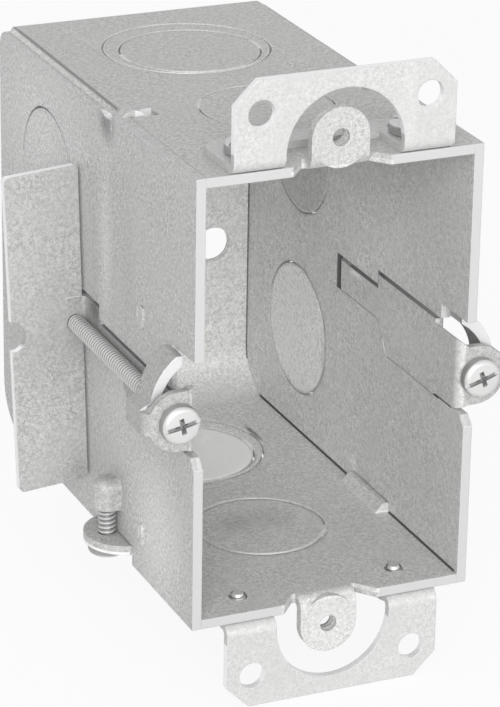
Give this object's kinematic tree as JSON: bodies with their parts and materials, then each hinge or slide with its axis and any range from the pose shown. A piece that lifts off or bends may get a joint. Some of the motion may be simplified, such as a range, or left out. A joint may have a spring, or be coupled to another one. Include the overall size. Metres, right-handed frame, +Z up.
{
  "type": "switch box",
  "caption": "Sheet-steel wall box for one wiring device, with removable side plates, knockouts, sliding ears and side clamps that grip the wallboard.",
  "frame": {"origin": "midway between the two threaded device tab holes, on the front face of the tabs", "axes": "+Z up, -Y out of the open front, X across the box"},
  "size_m": [0.0756, 0.0899, 0.1062],
  "materials": {
    "box_steel": "galvanised, matt",
    "clamp_steel": "galvanised, matt",
    "ear_steel": "galvanised, bright",
    "screw_steel": "zinc plated"
  },
  "bodies": {
    "box": {"box_body": "box_steel", "side_plate_left": "box_steel", "side_plate_right": "box_steel", "clamp_left": "clamp_steel", "clamp_right": "clamp_steel"},
    "upper_ear": {"ear_top": "ear_steel"},
    "lower_ear": {"ear_bottom": "ear_steel"},
    "upper_left_ear_screw": {"ear_screw_top_left": "screw_steel"},
    "upper_right_ear_screw": {"ear_screw_top_right": "screw_steel"},
    "lower_left_ear_screw": {"ear_screw_bottom_left": "screw_steel"},
    "lower_right_ear_screw": {"ear_screw_bottom_right": "screw_steel"},
    "left_clamp_screw": {"clamp_screw_left": "screw_steel"},
    "right_clamp_screw": {"clamp_screw_right": "screw_steel"},
    "left_gang_screw": {"gang_screw_left": "screw_steel"},
    "right_gang_screw": {"gang_screw_right": "screw_steel"}
  },
  "joints": [
    {"name": "upper_ear_slide", "type": "slide", "parent": "box", "child": "upper_ear", "axis": [0, 1, 0], "range_m": [-0.003, 0.0008]},
    {"name": "lower_ear_slide", "type": "slide", "parent": "box", "child": "lower_ear", "axis": [0, 1, 0], "range_m": [-0.003, 0.0008]},
    {"name": "upper_left_ear_screw_turn", "type": "hinge", "parent": "box", "child": "upper_left_ear_screw", "pos_m": [-0.014, 0.005, 0.0381], "axis": [0, 0, 1], "continuous": true},
    {"name": "upper_right_ear_screw_turn", "type": "hinge", "parent": "box", "child": "upper_right_ear_screw", "pos_m": [0.014, 0.005, 0.0381], "axis": [0, 0, 1], "continuous": true},
    {"name": "lower_left_ear_screw_turn", "type": "hinge", "parent": "box", "child": "lower_left_ear_screw", "pos_m": [-0.014, 0.005, -0.0381], "axis": [0, 0, -1], "continuous": true},
    {"name": "lower_right_ear_screw_turn", "type": "hinge", "parent": "box", "child": "lower_right_ear_screw", "pos_m": [0.014, 0.005, -0.0381], "axis": [0, 0, -1], "continuous": true},
    {"name": "left_clamp_screw_turn", "type": "hinge", "parent": "box", "child": "left_clamp_screw", "pos_m": [-0.026, 0.0018, -0.0026], "axis": [0, -1, 0], "continuous": true},
    {"name": "right_clamp_screw_turn", "type": "hinge", "parent": "box", "child": "right_clamp_screw", "pos_m": [0.02645, 0.0018, -0.0026], "axis": [0, -1, 0], "continuous": true},
    {"name": "left_gang_screw_turn", "type": "hinge", "parent": "box", "child": "left_gang_screw", "pos_m": [-0.026, 0.0325, -0.0365], "axis": [0, 0, -1], "continuous": true},
    {"name": "right_gang_screw_turn", "type": "hinge", "parent": "box", "child": "right_gang_screw", "pos_m": [0.026, 0.0325, -0.0365], "axis": [0, 0, -1], "continuous": true}
  ]
}
